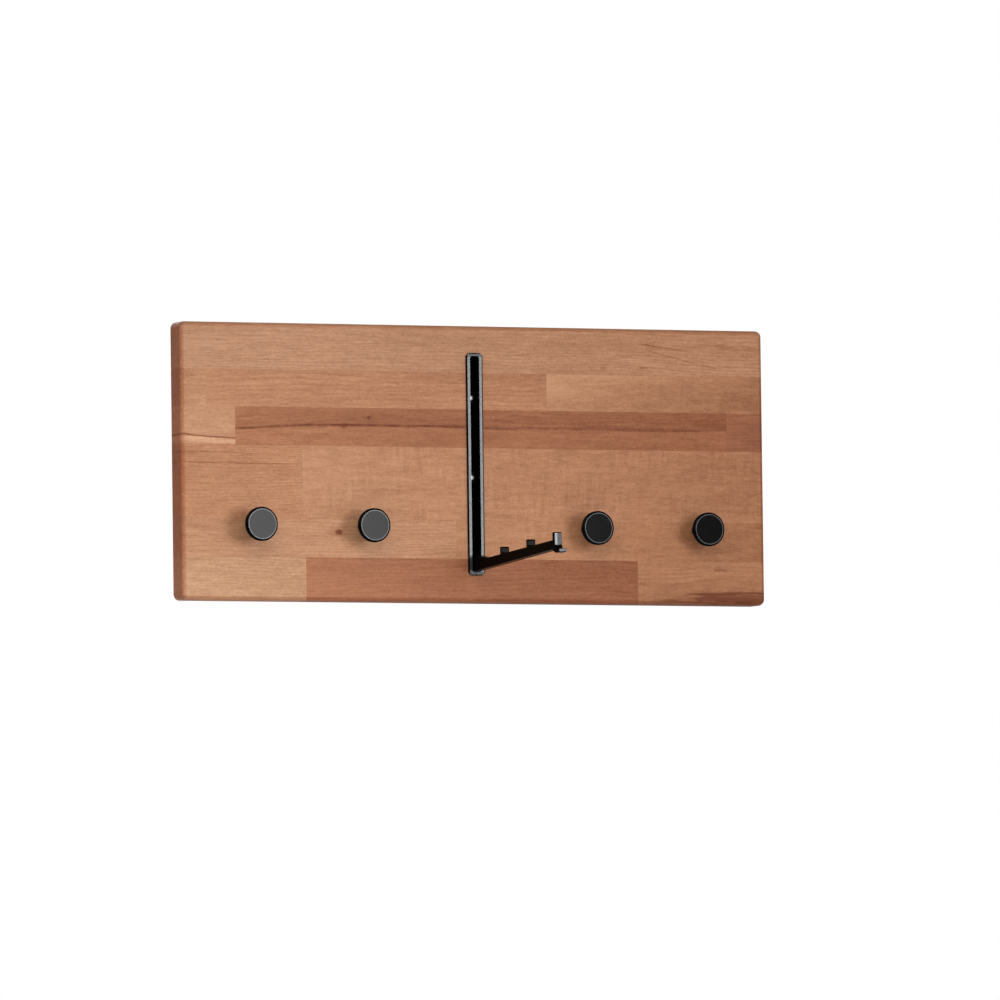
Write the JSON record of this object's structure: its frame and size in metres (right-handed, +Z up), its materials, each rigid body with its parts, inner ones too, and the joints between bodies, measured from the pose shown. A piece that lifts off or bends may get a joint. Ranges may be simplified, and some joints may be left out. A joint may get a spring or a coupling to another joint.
{
  "type": "wall hook rack",
  "caption": "Wall rack of glued wood staves with turned knobs and a hanger arm that folds out of a recessed channel.",
  "frame": {"origin": "centre of the panel's back face, which lies on the wall", "axes": "+X to the viewer's right along the panel, +Y into the wall, +Z up"},
  "size_m": [0.6, 0.2178, 0.26],
  "materials": {
    "beech": "satin oiled",
    "black_metal": "satin black anodised, bright-cut rims",
    "steel": "zinc plated",
    "polymer": "matte"
  },
  "bodies": {
    "rack": {"stave_1": "beech", "stave_2": "beech", "stave_3": "beech", "stave_4": "beech", "stave_5": "beech", "stave_6": "beech", "stave_7": "beech", "stave_8": "beech", "stave_9": "beech", "stave_10": "beech", "stave_11": "beech", "stave_12": "beech", "stave_13": "beech", "stave_14": "beech", "arm_housing": "black_metal", "housing_screws": "steel", "pivot_pin": "steel", "friction_washers": "polymer", "knob_1": "black_metal", "knob_2": "black_metal", "knob_3": "black_metal", "knob_4": "black_metal", "knob_screws": "steel", "knob_washers": "steel", "hanger_plate_left": "steel", "hanger_plate_right": "steel", "hanger_plate_screws": "steel"},
    "arm": {"hanger_arm": "black_metal"}
  },
  "joints": [
    {"name": "arm_hinge", "type": "hinge", "parent": "rack", "child": "arm", "pos_m": [0, -0.0164, -0.0923], "axis": [-1, 0, 0], "range_deg": [0, 86.5]}
  ]
}
